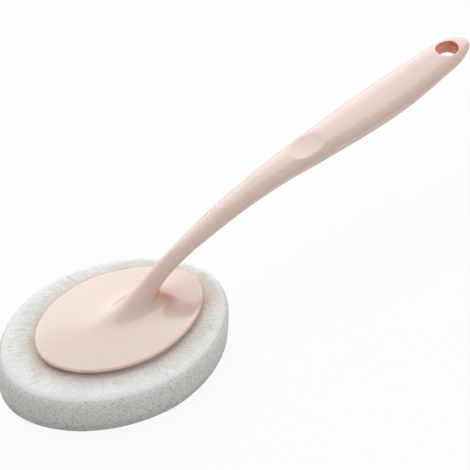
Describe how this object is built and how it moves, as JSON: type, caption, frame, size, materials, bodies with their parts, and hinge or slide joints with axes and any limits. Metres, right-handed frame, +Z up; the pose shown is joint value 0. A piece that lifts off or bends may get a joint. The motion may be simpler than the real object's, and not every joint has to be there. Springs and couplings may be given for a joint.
{
  "type": "sponge scrub brush",
  "caption": "Long swan-necked handle with an oval head plate, under which a replaceable oval sponge scrubbing pad hangs on a hook sheet.",
  "frame": {"origin": "centre of the pad's flat underside, on the surface that the brush stands on", "axes": "+X along the handle from the head to the grip, +Z up, out of the top of the head plate"},
  "size_m": [0.3365, 0.1076, 0.102],
  "materials": {
    "moulded_handle": "satin moulded polypropylene, pale pink",
    "hook_tape": "moulded nylon hooks on a woven back, off-white",
    "loop_cloth": "napped, off-white, with loose fibres",
    "foam": "fine open-cell foam, off-white",
    "scouring_web": "porous non-woven web, pale grey"
  },
  "bodies": {
    "pad": {"loop_face": "loop_cloth", "foam_core": "foam", "scouring_face": "scouring_web"},
    "brush_handle": {"handle": "moulded_handle", "hook_sheet": "hook_tape"}
  },
  "joints": [
    {"name": "lift_off", "type": "slide", "parent": "pad", "child": "brush_handle", "axis": [0, 0, 1], "range_m": [0, 0.05]}
  ]
}
